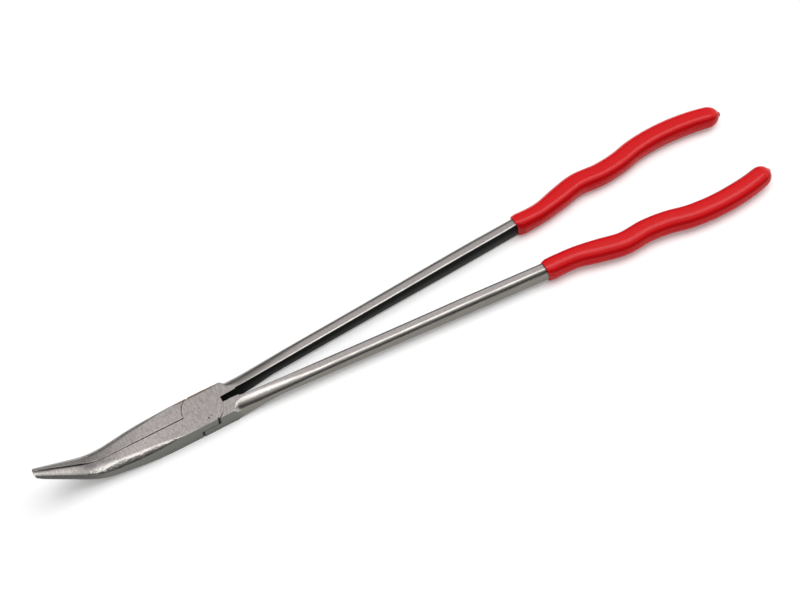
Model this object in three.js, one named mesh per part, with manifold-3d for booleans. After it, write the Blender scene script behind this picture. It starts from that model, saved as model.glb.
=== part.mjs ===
// Long-reach bent-nose pliers, in millimetres with +Z up. Two drop-forged halves cross at a
// riveted lap joint, and each long arm ends in a dipped vinyl grip. The origin is on the
// rivet's axis, in the plane that the head's underside and the grips lie on. The nose runs
// along -X and bends up, and the handles run along +X.
import * as THREE from 'three';
import { mergeVertices } from 'three/addons/utils/BufferGeometryUtils.js';
import Module from 'manifold-3d';

// Head and lap joint
const headThickness = 10.3;
const headWidth = 17.5;
const headRear = 12.6; // rivet's axis to the head's rear corners
const lapRadius = 9.8; // round shoulder of each lap, centred on the rivet
const lapClearance = 0.2; // between the flats of the two laps
const shoulderClearance = 0.25; // between a lap's round edge and the shoulder around it
const notchReach = 4.4; // rivet's axis to the notches in the head's sides
const notchRadius = 0.5; // relief between a lap's corner and the shoulder
const headEdge = 0.25; // broken edges of the ground head

// Rivet, ground flush with both faces of the head
const rivetShankRadius = 3.4;
const rivetHeadRadius = 4.7;
const countersinkDepth = 1.3;
const rivetClearance = 0.1;

// Jaws and bent nose, measured along the jaws' upper face from the rivet's axis
const jawRoundStart = 13; // where the jaws' outer edges begin to grow round
const jawRoundEnd = 36; // where their upper outer edge is fully round
const jawTaperStart = 27;
const bendStart = 48.6;
const bendRadius = 20.8; // of the upper face, inside the bend
const bendAngle = THREE.MathUtils.degToRad(35.1);
const noseReach = 81.9; // rivet's axis to the upright end face of the nose
const jawWidthAtBend = 13.4; // both jaws closed
const jawWidthPastBend = 10.7;
const tipWidth = 4.2;
const jawThicknessAtBend = 10.25;
const jawThicknessPastBend = 6.95;
const tipThickness = 2.7;
const jawTopRounding = [0.42, 0.43]; // share of a jaw's width and thickness in its upper outer corner
const jawUnderRounding = [0.56, 0.42]; // and in its lower outer corner
const jawClearance = 0.2; // between the closed jaws
const jawRelief = 0.12; // hollow of each jaw behind the tip
const jawEdge = 0.08; // broken edge left beside the teeth
const toothPitch = 1.1;
const toothDepth = 0.24;
const toothCount = 22;
const plainTip = 2.2; // smooth end of the jaw beyond the last tooth

// Arms, D-shaped in section with the flat side inwards
const slotWidth = 2.86; // between the arms, at the rear of the lap
const slotRearWidth = 3.7;
const slotLength = 18.4; // rivet's axis to the step where the slot widens
const slotStep = 0.4; // length of that step
const armGapAtRivet = 2.36; // gap between the arms' flat faces, carried back to the rivet
const armSplay = 0.0635; // how far each arm leans away from the middle, per mm of length
const armWidth = 6.3;
const armFlatWidth = 3.1; // flat strip on the D's upper and lower sides
const flatReach = 55; // rivet's axis to the full width of that strip
const neckFlatWidth = 0.7; // strip behind the head
const swellHeight = 18; // forging at the head's rear, before the head is ground flat
const creaseReach = 15.5; // rivet's axis to the crease where the ground faces end
const armHeightAtCrease = 9.5;
const waistReach = 18.6; // rivet's axis to the narrowest place behind the head
const waistWidth = 16.3; // over both arms, there
const neckEnd = 25; // rivet's axis to the end of the ground faces' reach
const armHeightAtNeck = 7.8;
const armMidway = 100; // rivet's axis to the middle of the straight run
const armHeightMidway = 8.8;
const armFullReach = 140; // rivet's axis to the full height
const armHeightAtGrip = 10.2;

// Grips. Each bow is [share of the grip's length, how far its middle bends away from the
// straight line of the arm], outwards from the gap between the handles.
const gripStart = 183.5; // rivet's axis to the rim of the grips
const gripReach = 134.8; // from the rim to the rounded end
const gripBows = [
  [0, -0.3],
  [0.06, -0.9],
  [0.13, -0.85],
  [0.22, 1],
  [0.315, 2.8],
  [0.42, 1.3],
  [0.51, 1.7],
  [0.61, 3.8],
  [0.74, 3.9],
  [0.88, 1.3],
  [1, -3],
];
const gripWidth = 12;
const gripHeight = 10.4;
const gripNeckWidth = 10.7;
const gripNeckLength = 16;
const gripEndWidth = 11; // before the rounded end
const gripEndHeight = 9.6;
const gripInnerCorner = 0.79; // roundness of the grip's inner edges, as a share of the outer ones
const gripRimLean = 0.17; // lean of the rim, whose upper side reaches further forwards
const gripTaperLength = 30; // last stretch, where the grip gets thinner
const gripEndFlat = 2; // blunt middle of the rounded end
const gripWall = 1.2;
const gripRimWall = 0.8; // at the very rim
const gripLip = 3.6; // length over which the rim swells to the grip's neck
const gripClearance = 0.2; // between an arm and the vinyl around it
const gripSolidEnd = 9; // vinyl beyond the end of the arm

// Fineness of the curved surfaces
const roundSegments = 80;
const cornerSteps = 5;
const jawStep = 4;
const gripStep = 7.3;
const domeSteps = 6;

const wasm = await Module();
wasm.setup();

const ACROSS = new THREE.Vector3(0, 1, 0);
const UP = new THREE.Vector3(0, 0, 1);

// A smooth value at `at`, through [position, value] stops, that never overshoots them.
function along(stops, at) {
  const last = stops.length - 1;
  if (at <= stops[0][0]) return stops[0][1];
  if (at >= stops[last][0]) return stops[last][1];
  const slope = (k) => (stops[k + 1][1] - stops[k][1]) / (stops[k + 1][0] - stops[k][0]);
  const tangent = (k) => {
    if (k === 0) return slope(0);
    if (k === last) return slope(last - 1);
    const product = slope(k - 1) * slope(k);
    return product > 0 ? (2 * product) / (slope(k - 1) + slope(k)) : 0;
  };
  const k = stops.findIndex(([position]) => position > at) - 1;
  const span = stops[k + 1][0] - stops[k][0];
  const t = (at - stops[k][0]) / span;
  const ease = t * t * (3 - 2 * t);
  const lead = t * (1 - t) * (1 - t) * span * tangent(k);
  const trail = t * t * (t - 1) * span * tangent(k + 1);
  return stops[k][1] + ease * (stops[k + 1][1] - stops[k][1]) + lead + trail;
}

// A rounded section, counterclockwise in (across, up). `inner` and `outer` are its sides,
// `low` and `high` its faces, and its corners are elliptical, [across, up].
function section({ inner, outer, low, high, innerCorner, outerCorner, underCorner = outerCorner }) {
  const corners = [
    [outer - underCorner[0], low + underCorner[1], underCorner, -90],
    [outer - outerCorner[0], high - outerCorner[1], outerCorner, 0],
    [inner + innerCorner[0], high - innerCorner[1], innerCorner, 90],
    [inner + innerCorner[0], low + innerCorner[1], innerCorner, 180],
  ];
  const points = [];
  for (const [middle, level, [rx, ry], from] of corners) {
    for (let step = 0; step <= cornerSteps; step += 1) {
      const angle = THREE.MathUtils.degToRad(from + (90 * step) / cornerSteps);
      points.push(new THREE.Vector2(middle + rx * Math.cos(angle), level + ry * Math.sin(angle)));
    }
  }
  return points;
}

// A closed skin over sections. Each frame is { origin, across, up, points }, and the frames
// follow one another along across x up.
function loft(frames) {
  const positions = [];
  for (const { origin, across, up, points } of frames) {
    for (const point of points) {
      const place = origin.clone().addScaledVector(across, point.x).addScaledVector(up, point.y);
      positions.push(place.x, place.y, place.z);
    }
  }
  const count = frames[0].points.length;
  const index = [];
  for (let ring = 0; ring + 1 < frames.length; ring += 1) {
    for (let i = 0; i < count; i += 1) {
      const a = ring * count + i;
      const b = ring * count + ((i + 1) % count);
      index.push(a, b, b + count, a, b + count, a + count);
    }
  }
  const lastRing = (frames.length - 1) * count;
  for (const [a, b, c] of THREE.ShapeUtils.triangulateShape(frames[0].points, [])) {
    index.push(c, b, a);
  }
  for (const [a, b, c] of THREE.ShapeUtils.triangulateShape(frames.at(-1).points, [])) {
    index.push(lastRing + a, lastRing + b, lastRing + c);
  }
  const geometry = new THREE.BufferGeometry();
  geometry.setAttribute('position', new THREE.Float32BufferAttribute(positions, 3));
  geometry.setIndex(index);
  return geometry;
}

// The same form on the other side of the middle plane.
function mirrored(geometry) {
  const copy = geometry.clone().scale(1, -1, 1);
  const index = copy.getIndex();
  for (let i = 0; i < index.count; i += 3) {
    const first = index.getX(i);
    index.setX(i, index.getX(i + 1));
    index.setX(i + 1, first);
  }
  return copy;
}

function toSolid(geometry) {
  const bare = geometry.clone();
  bare.deleteAttribute('normal');
  bare.deleteAttribute('uv');
  const merged = mergeVertices(bare, 1e-5);
  return new wasm.Manifold(
    new wasm.Mesh({
      numProp: 3,
      vertProperties: new Float32Array(merged.getAttribute('position').array),
      triVerts: new Uint32Array(merged.getIndex().array),
    }),
  );
}

function toGeometry(solid) {
  const { vertProperties, triVerts } = solid.getMesh();
  const geometry = new THREE.BufferGeometry();
  geometry.setAttribute('position', new THREE.BufferAttribute(vertProperties, 3));
  geometry.setIndex(new THREE.BufferAttribute(triVerts, 1));
  return geometry;
}

// An upright cylinder from `low` to `high`.
function disc(radius, low, high, x = 0, y = 0) {
  const segments = radius < 1 ? roundSegments / 4 : roundSegments;
  const geometry = new THREE.CylinderGeometry(radius, radius, high - low, segments);
  geometry.rotateX(Math.PI / 2);
  return toSolid(geometry.translate(x, y, (low + high) / 2));
}

// ---- Jaws ----

const bendLength = bendRadius * bendAngle;
const bendEnd = bendStart + bendLength;
const reachAtBendEnd = bendStart + bendRadius * Math.sin(bendAngle);
const noseLength = bendEnd + (noseReach - reachAtBendEnd) / Math.cos(bendAngle);

// The middle of the jaws' upper face, and which way is up there, at a distance along it.
function noseFrame(distance) {
  const turned = THREE.MathUtils.clamp((distance - bendStart) / bendRadius, 0, bendAngle);
  const straight = Math.min(distance, bendStart);
  const beyond = Math.max(distance - bendEnd, 0);
  const reach = straight + bendRadius * Math.sin(turned) + beyond * Math.cos(turned);
  const rise = bendRadius * (1 - Math.cos(turned)) + beyond * Math.sin(turned);
  return {
    origin: new THREE.Vector3(-reach, 0, headThickness + rise),
    across: ACROSS,
    up: new THREE.Vector3(Math.sin(turned), 0, Math.cos(turned)),
  };
}

const lastTooth = noseLength - plainTip;
const firstTooth = lastTooth - toothCount * toothPitch;

function jawSection(distance, cut) {
  const outer = along(
    [
      [0, headWidth / 2],
      [jawTaperStart, headWidth / 2],
      [bendStart, jawWidthAtBend / 2],
      [bendEnd, jawWidthPastBend / 2],
      [noseLength, tipWidth / 2],
    ],
    distance,
  );
  const thickness = along(
    [
      [0, headThickness],
      [jawTaperStart, headThickness],
      [bendStart, jawThicknessAtBend],
      [bendEnd, jawThicknessPastBend],
      [noseLength, tipThickness],
    ],
    distance,
  );
  const hollow = along(
    [
      [bendStart, 0],
      [bendEnd, jawRelief],
      [noseLength - 3 * plainTip, jawRelief],
      [noseLength - plainTip, 0],
    ],
    distance,
  );
  const inner = jawClearance / 2 + hollow + cut;
  const corner = ([acrossShare, upShare], roundEnd) => {
    const rounded = along([[jawRoundStart, 0], [roundEnd, 1]], distance);
    return [
      Math.max(rounded * acrossShare * (outer - inner), headEdge),
      Math.max(rounded * upShare * thickness, headEdge),
    ];
  };
  return section({
    inner,
    outer,
    low: -thickness,
    high: 0,
    innerCorner: [jawEdge + toothDepth - cut, jawEdge + toothDepth],
    outerCorner: corner(jawTopRounding, jawRoundEnd),
    underCorner: corner(jawUnderRounding, bendStart),
  });
}

// The right jaw, from its tip back to the rivet's axis.
function jaw() {
  const stations = [{ at: 0, cut: 0 }];
  for (let at = jawRoundStart; at < firstTooth; at += jawStep) stations.push({ at, cut: 0 });
  for (let tooth = 0; tooth < toothCount; tooth += 1) {
    const crest = firstTooth + tooth * toothPitch;
    stations.push({ at: crest, cut: 0 }, { at: crest + toothPitch / 2, cut: toothDepth });
  }
  const pastTip = noseLength + tipThickness;
  stations.push({ at: lastTooth, cut: 0 }, { at: noseLength, cut: 0 }, { at: pastTip, cut: 0 });
  const frames = stations.map(({ at, cut }) => ({ ...noseFrame(at), points: jawSection(at, cut) }));
  const room = 4 * tipThickness;
  const beyondTip = new THREE.BoxGeometry(room, room, room);
  beyondTip.translate(-noseReach - room / 2, 0, noseFrame(noseLength).origin.z);
  return toGeometry(toSolid(loft(frames.reverse())).subtract(toSolid(beyondTip)));
}

// ---- Arms ----

const armLine = (x) => armGapAtRivet / 2 + armSplay * x;
const slotLine = (x) => along([[lapRadius, slotWidth / 2], [slotLength, slotRearWidth / 2]], x);
const armMiddle = (x) => armLine(x) + armWidth / 2;
const rimHeight = armHeightAtGrip + 2 * (gripClearance + gripRimWall);
const armLevel = rimHeight / 2; // the arms' middle, with the rims on the plane under the head
const gripLine = new THREE.CatmullRomCurve3(
  gripBows.map(([share, bow]) => {
    const x = gripStart + share * gripReach;
    return new THREE.Vector3(x, armMiddle(x) + bow, armLevel);
  }),
);
const [, bowAtRim] = gripBows[0];
const gripLength = gripLine.getLength();
const coreEnd = gripLength - gripSolidEnd;

// A frame on the grip's middle line, at a distance from its rim.
function gripFrame(distance) {
  const share = THREE.MathUtils.clamp(distance / gripLength, 0, 1);
  const forward = gripLine.getTangentAt(share);
  const lean = along([[0, gripRimLean], [gripNeckLength, 0]], distance);
  return {
    origin: gripLine.getPointAt(share),
    across: new THREE.Vector3().crossVectors(UP, forward),
    up: UP.clone().addScaledVector(forward, -lean),
  };
}

// Half-width and half-height of a grip at a distance from its rim, without its rounded end.
function gripHalves(distance) {
  const taperStart = gripLength - gripTaperLength;
  const width = along(
    [
      [0, armWidth + 2 * (gripClearance + gripRimWall)],
      [gripLip, gripNeckWidth],
      [gripNeckLength, gripNeckWidth],
      [2 * gripNeckLength, gripWidth],
      [taperStart, gripWidth],
      [gripLength, gripEndWidth],
    ],
    distance,
  );
  const height = along(
    [
      [0, rimHeight],
      [gripNeckLength, gripHeight],
      [taperStart, gripHeight],
      [gripLength, gripEndHeight],
    ],
    distance,
  );
  return { across: width / 2, up: height / 2 };
}

// Sections of the bare arm where x is a plain coordinate. Up to the neck's end the head's
// ground faces cut the rounded forging.
function armSection(x, inner) {
  const half = along(
    [
      [headRear, swellHeight / 2],
      [creaseReach, armHeightAtCrease / 2],
      [neckEnd, armHeightAtNeck / 2],
      [armMidway, armHeightMidway / 2],
      [armFullReach, armHeightAtGrip / 2],
    ],
    x,
  );
  const outer = along(
    [
      [headRear, headWidth / 2],
      [waistReach, waistWidth / 2],
      [neckEnd, armLine(neckEnd) + armWidth],
      [gripStart, armLine(gripStart) + armWidth],
    ],
    x,
  );
  const flat = along([[neckEnd, neckFlatWidth], [flatReach, armFlatWidth]], x);
  const forged = x > headRear;
  const points = section({
    inner,
    outer,
    low: forged ? armLevel - half : 0,
    high: forged ? armLevel + half : headThickness,
    innerCorner: [headEdge, headEdge],
    outerCorner: forged ? [outer - inner - flat, half] : [headEdge, headEdge],
  });
  if (forged && x < neckEnd) {
    for (const point of points) point.y = THREE.MathUtils.clamp(point.y, 0, headThickness);
  }
  return points;
}

// The arm inside its grip, a D section at the rim that turns into an oval bar. It is `spare`
// larger all round for the hollow of the grip.
function coreSection(distance, spare) {
  const cover = gripWall + gripClearance;
  const skin = gripHalves(distance);
  const turned = along([[0, 0], [2 * gripLip, 1]], distance);
  const mix = (atRim, beyond) => THREE.MathUtils.lerp(atRim, beyond, turned);
  const across = mix(armWidth / 2, skin.across - cover) + spare;
  const up = mix(armHeightAtGrip / 2, skin.up - cover) + spare;
  const offset = mix(-bowAtRim, 0);
  return section({
    inner: offset - across,
    outer: offset + across,
    low: -up,
    high: up,
    innerCorner: [mix(headEdge + spare, across), mix(headEdge + spare, up)],
    outerCorner: [mix(armWidth - armFlatWidth + spare, across), up],
  });
}

// Distances from the rim where the arm inside the grip and the hollow around it have sections.
function coreStations() {
  const stations = [];
  for (let at = 2 * gripLip; at < coreEnd - gripStep / 2; at += gripStep) stations.push(at);
  return stations;
}

// The right arm, from the rivet's axis to its end inside the grip.
function arm() {
  const straight = (x, inner) => ({
    origin: new THREE.Vector3(x, 0, 0),
    across: ACROSS,
    up: UP,
    points: armSection(x, inner),
  });
  const slotEnd = slotLength - slotStep;
  const grinding = (creaseReach - headRear) / 3;
  const slotted = [
    lapRadius,
    headRear,
    headRear + grinding,
    creaseReach - grinding,
    creaseReach,
    slotEnd,
  ];
  const bare = [slotLength, waistReach, neckEnd, flatReach / 2, flatReach, armMidway, armFullReach];
  return loft([
    straight(0, slotLine(lapRadius)),
    ...slotted.map((x) => straight(x, slotLine(x))),
    ...[...bare, gripStart].map((x) => straight(x, armLine(x))),
    ...[...coreStations(), coreEnd].map((at) => ({ ...gripFrame(at), points: coreSection(at, 0) })),
  ]);
}

// ---- Halves ----

// One forged half: a jaw on one side, the lap, and an arm on the other side. The upper half
// keeps its lap above the middle plane, and the lower half below it.
function forgedHalf(isUpper) {
  const middle = headThickness / 2;
  const beyond = headThickness;
  const lapSide = isUpper ? 1 : -1;
  const rightJaw = jaw();
  const rightArm = arm();
  const hub = disc(lapRadius, 0, headThickness).intersect(
    toSolid(new THREE.BoxGeometry(4 * lapRadius, headWidth, 4 * headThickness)),
  );
  const floor = middle + (lapSide * lapClearance) / 2;
  const below = [-beyond, floor];
  const above = [floor, headThickness + beyond];
  const pocketRadius = lapRadius + shoulderClearance;
  const notch = (end, [low, high], side) =>
    disc(notchRadius, low, high, end * notchReach, (side * headWidth) / 2);
  return toSolid(isUpper ? mirrored(rightJaw) : rightJaw)
    .add(hub)
    .add(toSolid(isUpper ? rightArm : mirrored(rightArm)))
    .subtract(disc(pocketRadius, ...(isUpper ? below : above)))
    .subtract(notch(-1, below, -1))
    .subtract(notch(1, below, 1))
    .subtract(notch(-1, above, 1))
    .subtract(notch(1, above, -1))
    .subtract(toSolid(rivetForm(rivetClearance, beyond)));
}

// The rivet, or the hole for it: `spare` all round and carried `beyond` both faces.
function rivetForm(spare, beyond) {
  const head = rivetHeadRadius + spare;
  const shank = rivetShankRadius + spare;
  const outline = [
    [0, -beyond],
    [head, -beyond],
    [head, 0],
    [shank, countersinkDepth],
    [shank, headThickness - countersinkDepth],
    [head, headThickness],
    [head, headThickness + beyond],
    [0, headThickness + beyond],
  ].map(([r, z]) => new THREE.Vector2(r, z));
  const points = outline.filter((point, i) => i === 0 || !point.equals(outline[i - 1]));
  return new THREE.LatheGeometry(points, roundSegments).rotateX(Math.PI / 2);
}

// ---- Grips ----

// The outside of a grip at a distance from its rim.
function gripSection(distance) {
  const { across, up } = gripHalves(distance);
  const left = Math.max(gripLength - distance, 0) / across;
  const dome = left < 1 ? Math.sqrt(1 - (1 - left) ** 2) : 1;
  const halfWidth = Math.max(across * dome, gripEndFlat / 2);
  const halfHeight = Math.max(up * dome, gripEndFlat / 2);
  const radius = Math.min(halfWidth, halfHeight);
  return section({
    inner: -halfWidth,
    outer: halfWidth,
    low: -halfHeight,
    high: halfHeight,
    innerCorner: [gripInnerCorner * radius, gripInnerCorner * radius],
    outerCorner: [radius, radius],
  });
}

// The right grip: a hollow sleeve, open at the rim and closed by a rounded end.
function grip() {
  const domeStart = gripLength - gripEndWidth / 2;
  const stations = [0, gripLip / 4, gripLip];
  for (let at = gripLip + gripStep; at < domeStart - gripStep / 2; at += gripStep) stations.push(at);
  for (let step = 0; step <= domeSteps; step += 1) {
    const turn = (Math.PI / 2) * (step / domeSteps);
    stations.push(domeStart + (gripEndWidth / 2) * Math.sin(turn));
  }
  const outside = loft(stations.map((at) => ({ ...gripFrame(at), points: gripSection(at) })));
  const sections = [0, ...coreStations(), coreEnd + gripClearance];
  const hollow = sections.map((at) => ({ ...gripFrame(at), points: coreSection(at, gripClearance) }));
  hollow[0].origin.addScaledVector(gripLine.getTangentAt(0), -gripClearance);
  return toSolid(outside).subtract(toSolid(loft(hollow)));
}

// ---- Assembly ----

const steel = { color: 0xaaa7a3, roughness: 0.38, metalness: 1 };
const rivetSteel = { color: 0xb3b0ac, roughness: 0.35, metalness: 1 };
const vinyl = { color: 0xd8161c, roughness: 0.4, metalness: 0 };

const pliers = new THREE.Group();

function place(name, geometry, look) {
  const mesh = new THREE.Mesh(geometry, new THREE.MeshStandardMaterial(look));
  mesh.name = name;
  pliers.add(mesh);
}

const rightGrip = toGeometry(grip());
place('upper_half', toGeometry(forgedHalf(true)), steel);
place('lower_half', toGeometry(forgedHalf(false)), steel);
place('pivot_rivet', rivetForm(0, 0), rivetSteel);
place('right_grip', rightGrip, vinyl);
place('left_grip', mirrored(rightGrip), vinyl);

export default pliers;
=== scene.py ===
import math

import bmesh
import bpy
from bpy.props import FloatProperty, FloatVectorProperty, IntProperty, PointerProperty
from mathutils import Matrix, Vector


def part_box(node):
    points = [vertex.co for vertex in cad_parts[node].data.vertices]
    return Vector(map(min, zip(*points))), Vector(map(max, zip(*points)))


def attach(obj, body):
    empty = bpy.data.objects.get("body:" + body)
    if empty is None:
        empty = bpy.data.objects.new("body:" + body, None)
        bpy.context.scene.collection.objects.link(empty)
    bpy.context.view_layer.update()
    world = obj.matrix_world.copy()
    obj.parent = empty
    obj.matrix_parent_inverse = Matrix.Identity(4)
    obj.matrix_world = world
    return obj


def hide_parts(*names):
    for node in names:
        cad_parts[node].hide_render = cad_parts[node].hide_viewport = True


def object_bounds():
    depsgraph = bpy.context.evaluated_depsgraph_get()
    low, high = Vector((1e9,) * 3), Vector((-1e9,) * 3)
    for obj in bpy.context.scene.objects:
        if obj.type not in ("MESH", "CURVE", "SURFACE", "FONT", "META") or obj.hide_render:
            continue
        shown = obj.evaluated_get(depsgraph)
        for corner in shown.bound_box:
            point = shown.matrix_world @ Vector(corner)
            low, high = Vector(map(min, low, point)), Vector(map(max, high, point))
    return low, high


bl_info = {
    "name": "Long-Reach Bent-Nose Pliers",
    "version": (1, 0, 0),
    "blender": (4, 5, 0),
    "location": "3D View > Sidebar > Pliers",
    "description": "Builds riveted long-reach pliers with bent jaws and dipped grips",
    "category": "Add Mesh",
}

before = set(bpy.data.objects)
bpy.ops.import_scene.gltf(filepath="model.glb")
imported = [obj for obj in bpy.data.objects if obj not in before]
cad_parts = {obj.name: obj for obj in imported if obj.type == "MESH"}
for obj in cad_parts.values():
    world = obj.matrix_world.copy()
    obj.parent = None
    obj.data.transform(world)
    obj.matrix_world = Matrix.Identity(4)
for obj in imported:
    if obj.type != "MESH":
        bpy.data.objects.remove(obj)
FRAME_LOW, FRAME_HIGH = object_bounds()
RIVET_LOW, RIVET_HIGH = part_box("pivot_rivet")
JAW_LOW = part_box("lower_half")[0]
GRIP_LOW, GRIP_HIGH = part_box("right_grip")

MM = 0.001
UP = Vector((0, 0, 1))
ACROSS = Vector((0, 1, 0))

# Points closer than this are one point
WELD = 1e-7


# ---- Sizes ----


def length(name, description, default):
    """A size in metres that a user can change."""
    return FloatProperty(
        name=name, description=description, default=default, min=0.0, unit="LENGTH", precision=5
    )


def number(name, description, default, subtype="NONE"):
    """An angle, slope or share that a user can change."""
    return FloatProperty(name=name, description=description, default=default, subtype=subtype)


def paint(name, description, default):
    """A finish's colour that a user can change."""
    return FloatVectorProperty(
        name=name, description=description, default=default, subtype="COLOR", size=3
    )


class HeadSizes(bpy.types.PropertyGroup):
    """The head: the riveted lap joint between the jaws and the arms."""

    thickness: length("Thickness", "Head over its two ground faces", RIVET_HIGH.z - RIVET_LOW.z)
    width: length("Width", "Head over its two ground sides", 17.5 * MM)
    rear: length("Rear", "Rivet's axis to the head's rear corners", 12.6 * MM)
    lap_radius: length("Lap radius", "Round shoulder of each lap", 9.9 * MM)
    lap_gap: length("Lap gap", "Between the flats of the two laps", 0.14 * MM)
    shoulder_gap: length("Shoulder gap", "Between a lap and the shoulder around it", 0.08 * MM)
    notch_reach: length("Notch reach", "Rivet's axis to the notches in the sides", 4.3 * MM)
    notch_radius: length("Notch radius", "Relief between a lap's corner and the shoulder", 0.5 * MM)
    edge: length("Edge", "Broken edges of the ground faces", 0.22 * MM)
    rivet_radius: length("Rivet", "Flush end of the rivet", RIVET_HIGH.x)
    rivet_gap: length("Rivet gap", "Between the rivet and its hole", 0.03 * MM)
    rivet_shank: length("Rivet shank", "Radius of the rivet between its ends", 3.4 * MM)
    rivet_sink: length("Countersink", "Depth of the rivet's conical ends", 1.3 * MM)


class JawSizes(bpy.types.PropertyGroup):
    """The jaws and the bent nose, along their upper face from the rivet's axis."""

    round_start: length("Rounding start", "Where the outer edges begin to grow round", 12 * MM)
    round_middle: length("Rounding middle", "Where the outer edges are half round", 21 * MM)
    round_end: length("Rounding end", "Where the outer edges are fully round", 32 * MM)
    taper_start: length("Taper start", "Where the jaws begin to narrow", 27 * MM)
    bend_start: length("Bend start", "Where the nose begins to rise", 48.6 * MM)
    bend_radius: length("Bend radius", "Of the upper face, inside the bend", 20.8 * MM)
    bend_angle: number("Bend", "Rise of the upper face past the bend", math.radians(35.1), "ANGLE")
    reach: length("Reach", "Rivet's axis to the end of the nose", -JAW_LOW.x)
    width_at_bend: length("Width at bend", "Both jaws closed", 14 * MM)
    width_past_bend: length("Width past bend", "Both jaws closed", 10.7 * MM)
    tip_width: length("Tip width", "Both jaws closed", 4.3 * MM)
    lead: length("Lead", "How much more than its half the upper jaw takes past the bend", 0.35 * MM)
    thickness_at_bend: length("Thickness at bend", "Upper to lower face", 10.3 * MM)
    thickness_past_bend: length("Thickness past bend", "Upper to lower face", 6.95 * MM)
    tip_thickness: length("Tip thickness", "Upper to lower face", 2.95 * MM)
    nose_middle: length("Nose middle", "Where the nose's top corner is shallowest", 72 * MM)
    gap: length("Gap", "Between the closed jaws at the rivet", 0.22 * MM)
    gap_at_bend: length("Gap at bend", "Between the closed jaws", 0.06 * MM)
    tip_gap: length("Tip gap", "Between the rounded ends of the closed jaws", 0.5 * MM)
    tip_spread: length("Tip spread", "Last stretch, in which that gap opens", 1.5 * MM)
    relief: length("Relief", "Hollow of each jaw behind the tip", 0.26 * MM)
    relief_start: length("Relief start", "Where it begins, before the end of the bend", 5 * MM)
    relief_full: length("Relief full", "Where it is full, before the end of the bend", 0.5 * MM)
    tooth_pitch: length("Tooth pitch", "From tooth to tooth", 1.1 * MM)
    tooth_depth: length("Tooth depth", "Depth of the grooves", 0.24 * MM)
    tooth_count: IntProperty(name="Teeth", description="Teeth on each jaw", default=22)
    plain_tip: length("Plain tip", "Smooth end beyond the last tooth", 2.2 * MM)
    tip_round: length("Tip rounding", "Round edges of the end of the nose", 1 * MM)
    upright: length("Upright stretch", "Last of the nose, where its sections turn upright", 6 * MM)
    side_round: length("Side rounding", "Largest radius where the rounded top meets the side", 0.3 * MM)


class ArmSizes(bpy.types.PropertyGroup):
    """The bare arms, D-shaped in section with the flat side inwards."""

    slot_width: length("Slot width", "Between the arms at the rear of the lap", 2.86 * MM)
    slot_rear_width: length("Slot rear width", "Just before the step", 3.7 * MM)
    slot_length: length("Slot length", "Rivet's axis to the step", 18.4 * MM)
    slot_step: length("Slot step", "Length of the step", 0.4 * MM)
    gap_at_rivet: length("Gap at rivet", "Between the arms' flats, carried to the rivet", 2.36 * MM)
    splay: number("Splay", "Lean of each arm, per length", 0.0635)
    width: length("Width", "Across one arm", 6.3 * MM)
    flat_width: length("Flat width", "Flat strip on top of the D", 3.1 * MM)
    edge: length("Edge", "Broken inner edges of the D", 0.45 * MM)
    crest: length("Crest", "How far the right arm's strip rolls over into its inner edge", 1 * MM)
    neck_flat: length("Neck flat", "Flat strip at the neck", 0.7 * MM)
    flat_reach: length("Flat reach", "Rivet's axis to the full flat strip", 55 * MM)
    swell: length("Swell", "Height of the forging before the head is ground", 18 * MM)
    crease: length("Crease", "Rivet's axis to the round end of the ground faces", 15.5 * MM)
    height_at_crease: length("Height at crease", "Of the forging", 9.5 * MM)
    waist: length("Waist", "Over both arms behind the head", 17.6 * MM)
    waist_at: length("Waist place", "Rivet's axis to the waist", 18.6 * MM)
    neck_end: length("Neck end", "Rivet's axis to the full D section", 25 * MM)
    height_at_neck: length("Height at neck", "Of the D section", 7.8 * MM)
    midway: length("Midway", "Rivet's axis to the middle of the straight run", 100 * MM)
    height_midway: length("Height midway", "Of the D section", 8.8 * MM)
    full: length("Full height", "Rivet's axis to the full height of the D section", 140 * MM)
    height_at_grip: length("Height at grip", "Of the D section", 10.2 * MM)
    shoulder: length("Shoulder", "Stretch in which the ground head turns into the rounded arm", 1.5 * MM)
    neck_lift: length("Neck lift", "Underside of the neck above that of the head", 0.3 * MM)
    squat: number("Squat", "Height of the D's outer corner, per half height", 0.7)
    squat_end: length("Squat end", "Where that corner grows again, before the grip", 30 * MM)
    squat_done: length("Squat done", "Where it is full again, before the grip", 2 * MM)
    under_round: length("Under rounding", "Past the neck, where the underside is round", 3 * MM)


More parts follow.
